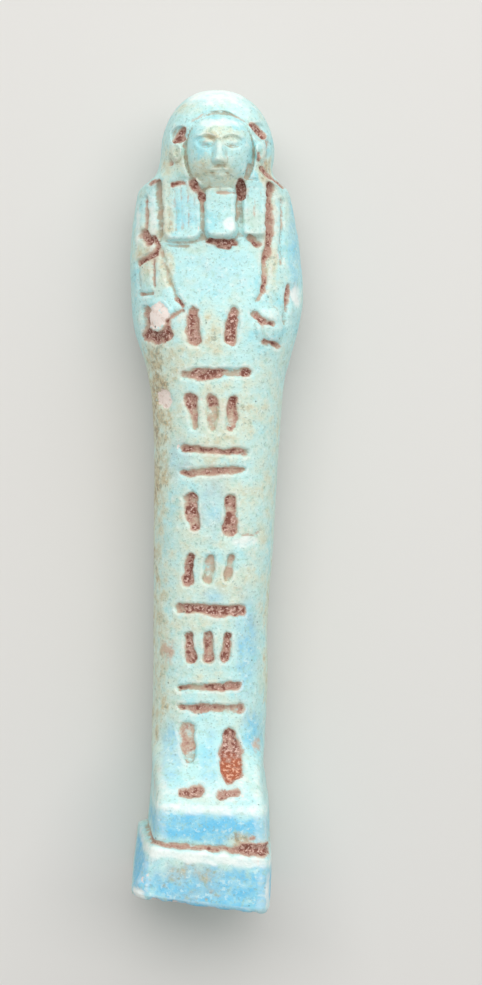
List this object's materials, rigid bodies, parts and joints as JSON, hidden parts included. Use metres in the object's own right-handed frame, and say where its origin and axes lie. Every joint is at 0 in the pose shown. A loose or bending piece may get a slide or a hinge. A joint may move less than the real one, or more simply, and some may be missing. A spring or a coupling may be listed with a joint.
{
  "type": "ushabti figurine",
  "caption": "Small moulded faience tomb figurine of a wrapped mummy with a long wig, short beard, back pillar and plinth, lying on its back.",
  "frame": {"origin": "middle of the object's box on the surface it lies on, under the back pillar", "axes": "+Y from the feet to the crown, +Z out of the figure's front, +X towards the figure's own left"},
  "size_m": [0.0218, 0.1004, 0.022],
  "materials": {
    "faience": "worn satin glaze"
  },
  "bodies": {
    "root": {"figurine": "faience"}
  },
  "joints": []
}
